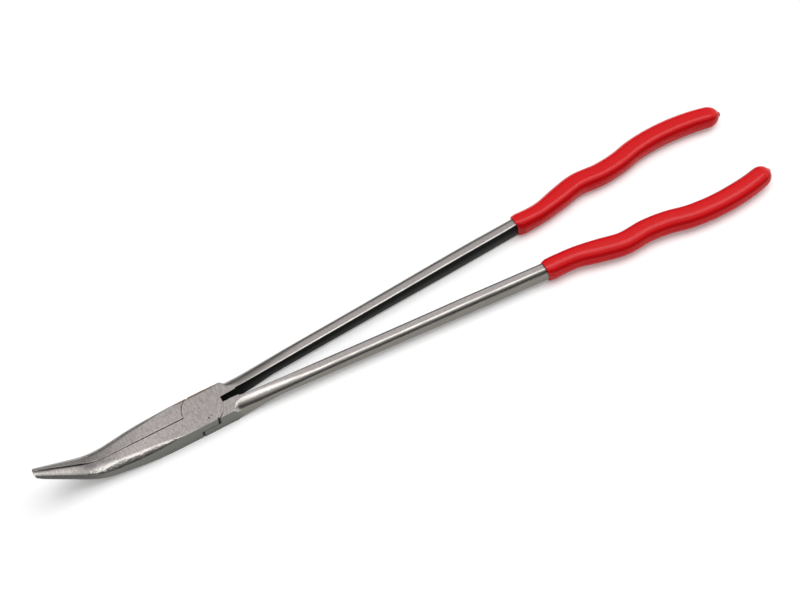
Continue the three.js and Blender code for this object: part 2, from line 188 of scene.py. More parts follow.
class GripSizes(bpy.types.PropertyGroup):
    """The dipped grips."""

    start: length("Start", "Rivet's axis to the rim", 183.5 * MM)
    reach: length("Reach", "Rim to the rounded end", 134.8 * MM)
    diameter: length("Diameter", "Height of the grip at its rim", GRIP_HIGH.z - GRIP_LOW.z)
    width: length("Width", "Full grip", 11.94 * MM)
    height: length("Height", "Full grip", 10.4 * MM)
    neck_width: length("Neck width", "Behind the rim", 10.7 * MM)
    neck_length: length("Neck length", "Of the thinner front part", 16 * MM)
    end_width: length("End width", "Before the rounded end", 11 * MM)
    end_height: length("End height", "Before the rounded end", 9.6 * MM)
    taper_length: length("Taper length", "Last stretch, where the grip gets thinner", 30 * MM)
    wall: length("Wall", "Vinyl around the arm", 1.2 * MM)
    rim_wall: length("Rim wall", "Vinyl at the rim", 0.8 * MM)
    rim_round: length("Rim rounding", "Soft edge of the rim", 0.3 * MM)
    lip: length("Lip", "Length over which the rim swells to the neck", 3.6 * MM)
    rim_shift: length("Rim shift", "Right rim further back and left rim further forwards", 0.9 * MM)
    dome: length("Rounded end", "Length of the rounded end", 7 * MM)
    nub: length("Nub", "Small drip on the rounded end", 0.8 * MM)
    lean: number("Rim lean", "Forward lean of the rim's upper side, per height", 0.17)
    clearance: length("Clearance", "Between arm and vinyl", 0.12 * MM)
    solid_end: length("Solid end", "Vinyl beyond the end of the arm", 9 * MM)


class Looks(bpy.types.PropertyGroup):
    """Colours of the finishes."""

    steel: paint("Ground steel", "Satin ground faces", (0.36, 0.331, 0.323))
    drawn: paint("Rounded steel", "Rounded flanks", (0.43, 0.415, 0.39))
    forged: paint("Forged sides", "Sides of the head and jaws, left as forged", (0.165, 0.165, 0.152))
    arm_sides: paint("Arm sides", "Sides of the arms, left as forged", (0.22, 0.208, 0.185))
    scale: paint("Scale", "Dark inner faces of the arms", (0.085, 0.088, 0.083))
    # Painted shade, darkening the lap's seams and notches
    seam_shade: paint("Seam shade", "In the lap's seams and notches", (0.012, 0.012, 0.014))
    vinyl: paint("Vinyl", "Dipped grips", (0.66, 0.006, 0.009))
    floor: paint("Floor", "Plain pale floor", (0.9, 0.9, 0.9))


class PliersSettings(bpy.types.PropertyGroup):
    """Everything that the pliers are built from."""

    head: PointerProperty(type=HeadSizes)
    jaws: PointerProperty(type=JawSizes)
    arms: PointerProperty(type=ArmSizes)
    grips: PointerProperty(type=GripSizes)
    looks: PointerProperty(type=Looks)


# ---- Curves and sections ----

# Where along the bend, as a share, its rounding is given
BEND_MIDDLE = 0.43

# Radii in millimetres of the jaws' rounded upper sides, near the top and further down, at the
# middle and end of the rounding, the start, middle and end of the bend, the nose's middle and
# the tip. The upper half's are larger near the top.
UPPER_CROWN = ((2.3, 2.0), (4.0, 3.6), (6.0, 4.2), (10.5, 1.8), (7.8, 1.3), (5.6, 0.4), (3.5, 0.35))
LOWER_CROWN = ((1.6, 1.6), (3.2, 3.2), (3.6, 3.6), (3.4, 3.4), (3.2, 3.2), (2.6, 2.6), (1.6, 1.6))

# Shares of the jaw's width and thickness that its under corner takes, at the same places.
UNDER_CORNER = ((0.05, 0.05), (0.27, 0.18), (0.68, 0.4), (0.85, 0.5), (0.95, 0.55), (0.75, 0.48), (0.5, 0.35))

# Each bow is (share of the grip's length, how far its middle bends outwards from the arm's line,
# in millimetres).
GRIP_BOWS = (
    (0, -0.3), (0.06, -0.9), (0.13, -0.85), (0.22, 1), (0.315, 2.8), (0.42, 1.3),
    (0.51, 1.7), (0.61, 3.8), (0.74, 3.9), (0.88, 1.3), (1, -3),
)

# Radius of the grip's inner corners, as a share of its round outer ones
GRIP_INNER_CORNER = 0.79

# The rounded end stops at a share of the grip's section and goes on as a nub, whose rings are
# (share of the nub's length, share of the section).
DOME_END_SHARE = 0.28
NUB = ((0.3, 0.26), (0.7, 0.22), (0.9, 0.17), (1, 0.1))


def mix(a, b, share):
    return a + (b - a) * share


def along(stops, at):
    """A smooth value at `at`, through (position, value) stops, that never overshoots them."""
    if at <= stops[0][0]:
        return stops[0][1]
    if at >= stops[-1][0]:
        return stops[-1][1]
    slopes = [(b[1] - a[1]) / (b[0] - a[0]) for a, b in zip(stops, stops[1:])]

    def tangent(k):
        if k == 0 or k == len(slopes):
            return slopes[min(k, len(slopes) - 1)]
        product = slopes[k - 1] * slopes[k]
        return 2 * product / (slopes[k - 1] + slopes[k]) if product > 0 else 0

    k = max(i for i, stop in enumerate(stops) if stop[0] <= at)
    span = stops[k + 1][0] - stops[k][0]
    t = (at - stops[k][0]) / span
    ease = t * t * (3 - 2 * t)
    lead = t * (1 - t) * (1 - t) * span * tangent(k)
    trail = t * t * (t - 1) * span * tangent(k + 1)
    return stops[k][1] + ease * (stops[k + 1][1] - stops[k][1]) + lead + trail


def spaced(start, end, steps):
    """Evenly spaced values from the start to the end."""
    return [mix(start, end, step / steps) for step in range(steps + 1)]


def quarter_turn(steps):
    """Angles from none to a quarter turn."""
    return [math.pi / 2 * step / steps for step in range(steps + 1)]


def crown(radii, steps=8):
    """A corner's offsets, from side to top; it turns 22, 38 and 30 degrees with its three radii."""
    turns = [math.radians(turn) for turn in (0, 22, 60, 90)]
    across = down = 0
    offsets = [(0, 0)]
    for radius, start, end in zip(radii, turns, turns[1:]):
        for turn in spaced(start, end, steps)[1:]:
            offsets.append(
                (
                    across + radius * (math.sin(turn) - math.sin(start)),
                    down - radius * (math.cos(start) - math.cos(turn)),
                )
            )
        across, down = offsets[-1]
    return [(a - across, d) for a, d in reversed(offsets)]


def section(inner, outer, low, high, inner_corner, top_corner, under_corner, steps=9):
    """A rounded section as (across, up) pairs. Its corners are elliptical, (across, up)."""
    corners = (
        (outer - under_corner[0], low + under_corner[1], under_corner, -90),
        (outer - top_corner[0], high - top_corner[1], top_corner, 0),
        (inner + inner_corner[0], high - inner_corner[1], inner_corner, 90),
        (inner + inner_corner[0], low + inner_corner[1], inner_corner, 180),
    )
    points = []
    for across, up, radii, start in corners:
        for step in range(steps + 1):
            turn = math.radians(start + 90 * step / steps)
            points.append((across + radii[0] * math.cos(turn), up + radii[1] * math.sin(turn)))
    return points


def place_ring(origin, across, up, points):
    return [origin + across * a + up * b for a, b in points]


def skin(name, rings, side=1):
    """A closed mesh object over rings of points; a side of -1 makes it on the -Y side."""
    bm = bmesh.new()
    loops = []
    for ring in rings:
        verts = [bm.verts.new((p.x, side * p.y, p.z)) for p in ring]
        loops.append([bm.edges.new((a, b)) for a, b in zip(verts, verts[1:] + verts[:1])])
    for before, after in zip(loops, loops[1:]):
        bmesh.ops.bridge_loops(bm, edges=before + after)
    for end in (loops[0], loops[-1]):
        bmesh.ops.edgeloop_fill(bm, edges=end)
    bmesh.ops.recalc_face_normals(bm, faces=bm.faces)
    return new_object(name, bm)


def add_object(name, data):
    added = bpy.data.objects.new(name, data)
    bpy.context.scene.collection.objects.link(added)
    return added


def new_object(name, bm):
    mesh = bpy.data.meshes.new(name)
    bm.to_mesh(mesh)
    bm.free()
    return add_object(name, mesh)


def drum(radius, low, high, x=0.0, y=0.0, segments=128):
    """An upright round cutter or blank."""
    bm = bmesh.new()
    place = Matrix.Translation((x, y, (low + high) / 2))
    bmesh.ops.create_cone(
        bm, cap_ends=True, segments=segments, radius1=radius, radius2=radius, depth=high - low, matrix=place
    )
    return new_object("Drum", bm)


def block(low, high):
    """A square cutter or blank between two corners."""
    bm = bmesh.new()
    low, high = Vector(low), Vector(high)
    size = Matrix.Diagonal(high - low).to_4x4()
    bmesh.ops.create_cube(bm, size=1, matrix=Matrix.Translation((low + high) / 2) @ size)
    return new_object("Block", bm)


def combine(piece, operation, other):
    """Adds, cuts or keeps the common part, and removes the other object."""
    modifier = piece.modifiers.new(operation, "BOOLEAN")
    modifier.operation = operation
    modifier.solver = "MANIFOLD"
    modifier.object = other
    graph = bpy.context.evaluated_depsgraph_get()
    result = bpy.data.meshes.new_from_object(piece.evaluated_get(graph))
    piece.modifiers.clear()
    old = piece.data
    piece.data = result
    bpy.data.meshes.remove(old)
    used = other.data
    bpy.data.objects.remove(other)
    bpy.data.meshes.remove(used)
    return piece


def finish_piece(piece, name, body, node, material, sharp=30, weighted=True):
    """Shades a piece, names it and lets it stand for its node."""
    piece.name = piece.data.name = name
    bm = bmesh.new()
    bm.from_mesh(piece.data)
    bmesh.ops.remove_doubles(bm, verts=bm.verts, dist=WELD)
    bmesh.ops.dissolve_degenerate(bm, edges=bm.edges, dist=WELD)
    bm.to_mesh(piece.data)
    bm.free()
    piece.data.shade_smooth()
    piece.data.set_sharp_from_angle(angle=math.radians(sharp))
    if weighted:
        piece.modifiers.new("Weighted normals", "WEIGHTED_NORMAL").keep_sharp = True
    piece.data.materials.clear()
    piece.data.materials.append(material)
    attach(piece, body)
    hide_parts(node)
    return piece


# ---- Shader parts ----

BLACK = (0, 0, 0)
WHITE = (1, 1, 1)


class Nodes:
    """A short way to add nodes and link them in a tree."""

    def __init__(self, tree):
        self.tree = tree

    def feed(self, node, inputs):
        """Links or sets a node's inputs, by name or number."""
        for key, value in inputs.items():
            socket = node.inputs[key]
            if isinstance(value, bpy.types.NodeSocket):
                self.tree.links.new(value, socket)
            else:
                socket.default_value = (*value, 1)[:4] if socket.type == "RGBA" else value

    def add(self, kind, inputs=None, **settings):
        node = self.tree.nodes.new(kind)
        for key, value in settings.items():
            setattr(node, key, value)
        self.feed(node, inputs or {})
        return node

    def math(self, operation, *values):
        return self.add("ShaderNodeMath", dict(enumerate(values)), operation=operation).outputs[0]

    def product(self, first, *others):
        for other in others:
            first = self.math("MULTIPLY", first, other)
        return first

    def highest(self, first, *others):
        for other in others:
            first = self.math("MAXIMUM", first, other)
        return first

    def distance(self, *offsets):
        squares = [self.math("POWER", offset, 2) for offset in offsets]
        return self.math("SQRT", self.math("ADD", *squares))

    def split(self, vector):
        """The x, y and z of a vector."""
        return tuple(self.add("ShaderNodeSeparateXYZ", {"Vector": vector}).outputs)

    def ramp(self, value, stops):
        """A ramp of greys with (position, tone) stops."""
        node = self.add("ShaderNodeValToRGB", {"Fac": value})
        points = node.color_ramp.elements
        while len(points) < len(stops):
            points.new(1.0)
        for point, (position, tone) in zip(points, stops):
            point.position = position
            point.color = (tone, tone, tone, 1)
        return node.outputs["Color"]

    def blend(self, share, first, second, mode="MIX"):
        """A colour that goes from the first to the second."""
        inputs = {0: share, 6: first, 7: second}
        return self.add("ShaderNodeMix", inputs, data_type="RGBA", blend_type=mode).outputs[2]

    def level(self, share, first, second):
        """A value that goes from the first to the second."""
        return self.add("ShaderNodeMix", {0: share, 2: first, 3: second}).outputs[0]

    def range(self, value, low, high):
        """A mask that grows smoothly from 0 to 1 as the value goes from low to high."""
        inputs = {"Value": value, "From Min": low, "From Max": high}
        return self.add("ShaderNodeMapRange", inputs, interpolation_type="SMOOTHSTEP").outputs["Result"]

    def within(self, *spans, unit=MM):
        """A mask over all of the (value, low, high) spans at once, by default in millimetres."""
        return self.product(*(self.range(value, low * unit, high * unit) for value, low, high in spans))

    def noise(self, vector, scale, detail, roughness=0.5, distortion=0.0):
        inputs = {"Vector": vector, "Scale": scale, "Detail": detail}
        inputs |= {"Roughness": roughness, "Distortion": distortion}
        return self.add("ShaderNodeTexNoise", inputs).outputs["Fac"]

    def bump(self, height, strength, distance, **others):
        inputs = {"Strength": strength, "Distance": distance, "Height": height, **others}
        return self.add("ShaderNodeBump", inputs).outputs["Normal"]


def uneven_group():
    """Slight unevenness of a worked surface, with a height and a mask for its finish."""
    found = bpy.data.node_groups.get("Unevenness")
    if found:
        return found
    group = bpy.data.node_groups.new("Unevenness", "ShaderNodeTree")
    face = group.interface
    face.new_socket("Vector", in_out="INPUT", socket_type="NodeSocketVector")
    face.new_socket("Size", in_out="INPUT", socket_type="NodeSocketFloat").default_value = 300
    face.new_socket("Detail", in_out="INPUT", socket_type="NodeSocketFloat").default_value = 3
    face.new_socket("Height", in_out="OUTPUT", socket_type="NodeSocketFloat")
    face.new_socket("Mask", in_out="OUTPUT", socket_type="NodeSocketFloat")
    n = Nodes(group)
    inputs = n.add("NodeGroupInput").outputs
    height = n.noise(inputs["Vector"], inputs["Size"], inputs["Detail"])
    n.add("NodeGroupOutput", {"Height": height, "Mask": n.range(height, 0.35, 0.65)})
    return group


def unevenness(n, vector, size, detail):
    inputs = {"Vector": vector, "Size": size, "Detail": detail}
    return n.add("ShaderNodeGroup", inputs, node_tree=uneven_group()).outputs


def new_material(name):
    material = bpy.data.materials.new(name)
    material.use_nodes = True
    material.node_tree.nodes.clear()
    n = Nodes(material.node_tree)
    shader = n.add("ShaderNodeBsdfPrincipled")
    n.add("ShaderNodeOutputMaterial", {"Surface": shader.outputs["BSDF"]})
    return material, n, shader


def dimmed(colour, share):
    return tuple(share * c for c in colour)


class Spot:
    """The shaded point: where it lies on the tool and which way its face looks."""

    def __init__(self, n):
        place = n.add("ShaderNodeTexCoord").outputs
        self.point = place["Object"]
        self.x, self.y, self.z = n.split(self.point)
        self.facing_y, self.facing_z = n.split(place["Normal"])[1:]


# ---- Steel ----

# Tone of the ground faces, by share of the reach from the rivet's axis to the tip
TONES = ((0, 0.9), (0.2, 0.94), (0.37, 1.06), (0.5, 1.03), (0.62, 0.72), (0.73, 0.7), (0.82, 0.82), (1, 0.9))

# Single pits in the head's top, as (x, y, radius) in millimetres
PITS = ((0.45, -5.97, 0.62), (2.03, -5.32, 0.42), (-1.33, 1.05, 0.36))

# Marks of grinding lie across the tool and marks of drawing along its arms, because a small
# scale on an axis makes a pattern long there.
GRINDING = {"scale": 1500, "detail": 5, "roughness": 0.75, "distortion": 0.4}
GRINDING_STRETCH = (1.0, 0.3, 0.4)
DRAWING = {"scale": 1100, "detail": 4, "roughness": 0.65}
DRAWING_STRETCH = (0.07, 1.0, 1.0)

DARK_PIT = (0.05, 0.04, 0.04)
BROWN_EDGE = (0.13, 0.085, 0.045)
# Painted highlight on the near half of the nose
NOSE_HIGHLIGHT = (2.3, 2.3, 2.26)
# Painted shade on the jaws' lower flanks
FLANK_SHADE = (0.06, 0.055, 0.05)
# Painted shade on the arms' lower outer sides
UNDERSIDE_SHADE = (0.12, 0.11, 0.1)
# Painted dark reflection along the left arm's inner edge
EDGE_SHADE = (0.05, 0.05, 0.05)
DEEP_SCALE = (0.001, 0.001, 0.001)


class SteelSpot(Spot):
    """A point on the steel, with masks for its places and kinds of face, and the marks on it."""

    def __init__(self, n):
        super().__init__(n)
        self.ahead = n.math("ABSOLUTE", self.x)
        self.aside = n.math("ABSOLUTE", self.y)
        self.outward = n.product(self.facing_y, n.math("SIGN", self.y))
        self.on_jaws = n.within((self.x, -14, -20))
        self.on_nose = n.within((self.x, -50, -62))
        self.on_arms = n.within((self.x, 14, 17))
        self.flat = self.flat_faces(n)
        self.inner = self.inner_faces(n)
        # Faces that look straight outwards
        self.walls = n.range(self.outward, 0.93, 0.99)
        self.shade = self.shaded_flanks(n)
        self.grain = self.marks(n, GRINDING, GRINDING_STRETCH, ends=(0.38, 0.62))
        self.streaks = self.marks(n, DRAWING, DRAWING_STRETCH, ends=(0.3, 0.7))
        self.clouds = unevenness(n, self.point, size=70, detail=4)["Mask"]

    def flat_faces(self, n):
        """The ground top and bottom; on the jaws they reach further round."""
        wider = n.math("MULTIPLY_ADD", self.on_jaws, -0.4, 1)
        return n.range(n.product(n.math("ABSOLUTE", self.facing_y), wider), 0.2, 0.06)

    def inner_faces(self, n):
        """The arms' flats towards each other, and all of the slot between them."""
        facing_in = n.product(n.range(self.outward, -0.8, -0.95), n.within((self.x, 9, 10)))
        upright = n.range(n.math("ABSOLUTE", self.facing_z), 0.6, 0.4)
        slot = n.within((self.aside, 4, 3.6), (self.x, 9, 9.8), (self.x, 24, 18.5))
        return n.highest(facing_in, n.product(slot, upright))

    def shaded_flanks(self, n):
        """The lower part of the jaws' rounded flanks, and the sides of the nose, where shade is painted."""
        flank = n.within((self.outward, 0.66, 0.84), (self.outward, 0.99, 0.95), unit=1)
        nose_side = n.product(self.on_nose, n.range(self.outward, 0.55, 0.85))
        return n.product(self.on_jaws, n.highest(flank, nose_side))

    def marks(self, n, texture, stretch, ends):
        """Fine marks from working the steel, drawn out by the stretch of their pattern."""
        mapping = n.add("ShaderNodeMapping", {"Vector": self.point, "Scale": stretch})
        return n.range(n.noise(mapping.outputs["Vector"], **texture), *ends)


def lap_seam_shade(n, steel, head):
    """Painted shade in the lap's side seams, in its notches and in parts of its round edge."""
    crossed = n.product(n.math("SIGN", steel.x), n.math("SIGN", steel.y))
    height = n.math("SUBTRACT", steel.z, head.thickness / 2)
    own_level = n.within((n.product(crossed, height), 0.3, 0.1))
    reach, width = head.notch_reach, head.width / 2
    corner = n.distance(n.math("SUBTRACT", steel.ahead, reach), n.math("SUBTRACT", steel.aside, width))
    notches = n.range(corner, head.notch_radius + 0.2 * MM, head.notch_radius + 0.05 * MM)
    level = n.math("ABSOLUTE", height)
    seam = n.within((level, 0.34, 0.12), (steel.ahead, 4.8, 4.4), (steel.aside, 8.3, 8.5))
    edge = n.math("SUBTRACT", n.distance(steel.x, steel.y), head.lap_radius + head.shoulder_gap / 2)
    ring = n.within((n.math("ABSOLUTE", edge), 0.34, 0.12))
    fore = n.within((steel.x, -5, -6), (steel.aside, 0.5, 2.5))
    aft = n.within((steel.x, 3, 4), (steel.aside, 6.2, 7.6))
    arc = n.product(n.highest(fore, aft), n.range(crossed, 0, -0.5), own_level, 0.8)
    return n.highest(n.product(notches, own_level), seam, n.product(ring, arc))


def pitting(n, steel, colour):
    """Small pits over the rear of the head, and the single larger ones."""
    pits = n.range(n.noise(steel.point, scale=520, detail=2), 0.68, 0.72)
    pits = n.product(pits, n.within((steel.x, -9, 4), (steel.x, 14, 11)))
    colour = n.blend(n.product(pits, 0.7), colour, DARK_PIT)
    for x, y, radius in PITS:
        middle = n.distance(n.math("SUBTRACT", steel.x, x * MM), n.math("SUBTRACT", steel.y, y * MM))
        pit = n.within((middle, radius, radius / 2))
        colour = n.blend(n.product(pit, 0.92), colour, DARK_PIT)
    return colour


def ground_colour(n, steel, settings):
    """Cross-ground faces, with pits, a brown edge, the tone that changes along the jaws and a painted
    highlight on the near half of the nose.
    """
    satin = settings.looks.steel
    lines = n.level(steel.on_arms, steel.grain, n.math("MULTIPLY_ADD", steel.grain, 0.4, 0.3))
    colour = n.blend(lines, dimmed(satin, 1.14), dimmed(satin, 0.77))
    colour = n.blend(n.product(steel.clouds, 0.12), colour, dimmed(satin, 0.8))
    colour = pitting(n, steel, colour)
    edge = n.within((steel.y, 7.6, 8.1), (steel.ahead, 13, 8))
    colour = n.blend(n.product(edge, 0.8), colour, BROWN_EDGE)
    tone = n.ramp(n.product(steel.x, -1 / settings.jaws.reach), TONES)
    colour = n.blend(1.0, colour, tone, "MULTIPLY")
    # A painted highlight brightens the near half of the nose
    nose_highlight = n.within((steel.x, -57, -66), (steel.y, -0.3, -1.8))
    colour = n.blend(nose_highlight, colour, NOSE_HIGHLIGHT, "MULTIPLY")
    far_jaw = n.within((steel.x, -18, -40), (steel.x, -60, -48), (steel.y, -0.1, 0.1))
    return n.blend(n.product(far_jaw, 0.18), colour, BLACK)


def rounded_colour(n, steel, looks):
    """Rounded flanks, streaked along the arms, with painted shade low on the jaws and under the arms."""
    colour = n.blend(n.product(steel.streaks, steel.on_arms), looks.drawn, dimmed(looks.drawn, 0.7))
    colour = n.blend(n.product(steel.clouds, 0.3), colour, dimmed(looks.drawn, 0.8))
    # Painted shade on the lower part of the jaws' flanks
    colour = n.blend(n.product(steel.shade, 0.7), colour, FLANK_SHADE)
    # Painted shade on the arms' lower outer sides
    underside_shade = n.product(n.range(steel.outward, 0.72, 0.82), steel.on_arms)
    return n.blend(n.product(underside_shade, 0.55), colour, UNDERSIDE_SHADE)


def arm_edge_shade(n, steel, arms):
    """A painted dark line, standing for a dark reflection, along the inner edge of the left arm's flat strip.
    """
    inner_face = n.math("MULTIPLY_ADD", steel.x, arms.splay, arms.gap_at_rivet / 2)
    beyond = n.math("SUBTRACT", steel.aside, inner_face)
    return n.within((beyond, 1, 0.75), (steel.y, 0, -1), (steel.x, 40, 65))


def steel_colour(n, steel, seams, settings):
    looks = settings.looks
    colour = n.blend(steel.flat, rounded_colour(n, steel, looks), ground_colour(n, steel, settings))
    # Painted shade along the left arm's inner edge
    colour = n.blend(n.product(arm_edge_shade(n, steel, settings.arms), 0.8), colour, EDGE_SHADE)
    # Painted shade darkens the sides of the nose
    sides = n.blend(n.product(steel.on_nose, 0.45), looks.forged, BLACK)
    sides = n.blend(steel.on_arms, sides, looks.arm_sides)
    colour = n.blend(steel.walls, colour, sides)
    # Painted shade in the lap's seams and notches
    colour = n.blend(n.product(seams, 0.95), colour, looks.seam_shade)
    # The inner faces are darkest at their top edge and beside the head, and lighter lower down further back
    depth = n.within((steel.z, 9, 1), (steel.x, 18, 34))
    return n.blend(steel.inner, colour, n.blend(depth, DEEP_SCALE, looks.scale))


def steel_roughness(n, steel):
    rounded = n.math("MULTIPLY_ADD", steel.streaks, 0.08, 0.27)
    ground = n.math("MULTIPLY_ADD", steel.grain, 0.1, 0.36)
    rough = n.level(steel.walls, n.level(steel.flat, rounded, ground), 0.45)
    return n.level(steel.inner, rough, 0.6)


def steel_relief(n, steel):
    """Fine grinding marks over shallow dents."""
    marks = n.level(n.product(steel.on_arms, steel.flat), steel.streaks, steel.grain)
    fine = n.bump(marks, strength=0.15, distance=0.02 * MM)
    strength = n.level(steel.flat, n.level(steel.on_arms, 1.0, 0.25), 0.12)
    depth = n.level(steel.on_arms, 0.4 * MM, 0.25 * MM)
    dents = unevenness(n, steel.point, size=700, detail=3)["Height"]
    return n.bump(dents, strength, depth, Normal=fine)


def steel_material(settings):
    """Ground, rounded, forged and dark unground steel, told apart by the way each face looks."""
    material, n, shader = new_material("Forged steel")
    steel = SteelSpot(n)
    seams = lap_seam_shade(n, steel, settings.head)
    n.feed(
        shader,
        {
            "Base Color": steel_colour(n, steel, seams, settings),
            "Roughness": steel_roughness(n, steel),
            "Metallic": n.math("SUBTRACT", 1, n.highest(steel.inner, seams)),
            "Specular IOR Level": n.level(steel.inner, 0.15, 0.04),
            "Normal": steel_relief(n, steel),
        },
    )
    return material


# ---- Vinyl ----

# Painted shade on the vinyl
SHADED_RED = (0.05, 0, 0)


def vinyl_material(settings):
    """Soft dipped vinyl with a low sheen, with painted shade in a band below its highlight and on the left
    grip's inner side.
    """
    material, n, shader = new_material("Red vinyl")
    vinyl = settings.looks.vinyl
    spot = Spot(n)
    uneven = unevenness(n, spot.point, size=90, detail=2)
    colour = n.blend(n.product(uneven["Mask"], 0.3), vinyl, dimmed(vinyl, 0.9))
    up, towards = spot.facing_z, spot.facing_y
    # Painted shade in a band below the highlight and on the left grip's inner side
    band = n.within((up, 0.85, 0.72), (up, 0.42, 0.54), (towards, 0.1, -0.1), unit=1)
    edge = n.product(n.range(towards, 0.55, 0.8), n.within((spot.y, 5, -5)))
    colour = n.blend(n.highest(n.product(band, 0.3), n.product(edge, 0.6)), colour, SHADED_RED)
    matt = n.highest(edge, n.range(up, 0.5, 0.2))
    n.feed(
        shader,
        {
            "Base Color": colour,
            "Roughness": n.math("MULTIPLY_ADD", uneven["Mask"], 0.04, 0.17),
            "Specular IOR Level": n.math("MULTIPLY_ADD", matt, -0.16, 0.24),
            "Normal": n.bump(uneven["Height"], strength=0.05, distance=0.2 * MM),
        },
    )
    return material


# ---- Jaws ----


def bend_end_of(jaws):
    return jaws.bend_start + jaws.bend_radius * jaws.bend_angle


def jaw_frame(jaws, thickness, distance):
    """Middle of the jaws' upper face, which way is up there, and which way is onwards."""
    bend_length = jaws.bend_radius * jaws.bend_angle
    turned = min(max((distance - jaws.bend_start) / jaws.bend_radius, 0), jaws.bend_angle)
    beyond = max(distance - jaws.bend_start - bend_length, 0)
    reach = min(distance, jaws.bend_start) + jaws.bend_radius * math.sin(turned) + beyond * math.cos(turned)
    rise = jaws.bend_radius * (1 - math.cos(turned)) + beyond * math.sin(turned)
    up = Vector((math.sin(turned), 0, math.cos(turned)))
    onwards = Vector((-math.cos(turned), 0, math.sin(turned)))
    return Vector((-reach, 0, thickness + rise)), up, onwards


def jaw_length(jaws):
    straight = jaws.reach - jaws.bend_start - jaws.bend_radius * math.sin(jaws.bend_angle)
    return bend_end_of(jaws) + straight / math.cos(jaws.bend_angle)


def jaw_faces(settings, distance, is_upper):
    """How far the jaw's inner and outer faces lie from the middle, and its thickness."""
    head, jaws = settings.head, settings.jaws
    whole, bend_end = jaw_length(jaws), bend_end_of(jaws)
    lead = jaws.lead if is_upper else -jaws.lead
    outer = along(
        (
            (0, head.width / 2),
            (jaws.taper_start, head.width / 2),
            (jaws.bend_start, jaws.width_at_bend / 2 + lead),
            (bend_end, jaws.width_past_bend / 2 + lead),
            (whole, jaws.tip_width / 2 + lead / 2),
        ),
        distance,
    )
    thickness = along(
        (
            (0, head.thickness),
            (jaws.taper_start, head.thickness),
            (jaws.bend_start, jaws.thickness_at_bend),
            (bend_end, jaws.thickness_past_bend),
            (whole, jaws.tip_thickness),
        ),
        distance,
    )
    hollow = along(
        (
            (bend_end - jaws.relief_start, 0),
            (bend_end - jaws.relief_full, jaws.relief),
            (whole - 3 * jaws.plain_tip, jaws.relief),
            (whole - jaws.plain_tip, 0),
        ),
        distance,
    )
    gap = along(
        (
            (jaws.taper_start, jaws.gap),
            (jaws.bend_start, jaws.gap_at_bend),
            (whole - jaws.tip_spread, jaws.gap_at_bend),
            (whole, jaws.tip_gap),
        ),
        distance,
    )
    return gap / 2 + hollow, outer, thickness


def jaw_corners(settings, distance, is_upper, width, thickness, edge):
    """The offsets of the jaw's crown, and the size of its under corner."""
    head, jaws = settings.head, settings.jaws
    bend_end = bend_end_of(jaws)
    places = (
        jaws.round_middle,
        jaws.round_end,
        jaws.bend_start,
        mix(jaws.bend_start, bend_end, BEND_MIDDLE),
        bend_end,
        jaws.nose_middle,
        jaw_length(jaws),
    )

    def rounding(values):
        return along([(jaws.round_start, 0), *zip(places, values)], distance)

    across, up = (rounding(shares) for shares in zip(*UNDER_CORNER))
    under_corner = (max(across * width, head.edge), max(up * thickness, head.edge))
    room = 2 * (width - edge)
    shape = UPPER_CROWN if is_upper else LOWER_CROWN
    radii = [max(min(rounding(values) * MM, room), head.edge) for values in zip(*shape)]
    return crown([*radii, min(radii[1], jaws.side_round)]), under_corner


def jaw_ring(settings, distance, is_upper, cut=0.0, inset=0.0):
    """One ring of the jaw on the +Y side, `cut` into its inner face and `inset` all round."""
    head, jaws = settings.head, settings.jaws
    whole = jaw_length(jaws)
    inner, outer, thickness = jaw_faces(settings, distance, is_upper)
    inner += cut
    edge = jaws.tooth_depth + head.edge / 2
    top, under_corner = jaw_corners(settings, distance, is_upper, outer - inner, thickness, edge)
    points = section(
        inner + inset, outer - inset, inset - thickness, -inset,
        (edge - cut, edge), (head.edge, head.edge), under_corner,
    )
    # The crown takes the place of the top corner
    points[10:20] = [(outer - inset + across, up - inset) for across, up in top]
    origin, up, onwards = jaw_frame(jaws, head.thickness, distance)
    tilt = along(((whole - jaws.upright, 0), (whole, math.tan(jaws.bend_angle))), distance)
    return place_ring(origin, ACROSS, up + onwards * tilt, points)


def jaw_rings(settings, is_upper, plain_steps=50):
    """The jaw from the rivet's axis, over its smooth part and its teeth, to its rounded end."""
    jaws = settings.jaws
    whole = jaw_length(jaws)
    last_tooth = whole - jaws.plain_tip
    first_tooth = last_tooth - jaws.tooth_count * jaws.tooth_pitch
    rings = [jaw_ring(settings, 0, is_upper)]
    for place in spaced(jaws.round_start, first_tooth, plain_steps)[:-1]:
        rings.append(jaw_ring(settings, place, is_upper))
    for tooth in range(jaws.tooth_count):
        start = first_tooth + tooth * jaws.tooth_pitch
        rings.append(jaw_ring(settings, start, is_upper))
        rings.append(jaw_ring(settings, start + jaws.tooth_pitch / 2, is_upper, cut=jaws.tooth_depth))
    rings.append(jaw_ring(settings, last_tooth, is_upper))
    for turn in quarter_turn(6):
        inset = jaws.tip_round * (1 - math.cos(turn))
        place = whole - jaws.tip_round * (1 - math.sin(turn))
        rings.append(jaw_ring(settings, place, is_upper, inset=inset))
    return rings


# ---- Arms and grips ----


def arm_line(arms, x):
    """Inner face of the arm on the +Y side."""
    return arms.gap_at_rivet / 2 + arms.splay * x


def slot_line(settings, x):
    arms = settings.arms
    stops = ((settings.head.lap_radius, arms.slot_width / 2), (arms.slot_length, arms.slot_rear_width / 2))
    return along(stops, x)


def arm_shape(settings, x):
    """How far the arm's outer face lies from the tool's middle, and half of the arm's height."""
    head, arms, grips = settings.head, settings.arms, settings.grips
    outer = along(
        (
            (head.rear, head.width / 2),
            (arms.waist_at, arms.waist / 2),
            (arms.neck_end, arm_line(arms, arms.neck_end) + arms.width),
            (grips.start, arm_line(arms, grips.start) + arms.width),
        ),
        x,
    )
    half = along(
        (
            (head.rear, arms.swell / 2),
            (arms.crease, arms.height_at_crease / 2),
            (arms.neck_end, arms.height_at_neck / 2),
            (arms.midway, arms.height_midway / 2),
            (arms.full, arms.height_at_grip / 2),
        ),
        x,
    )
    return outer, half


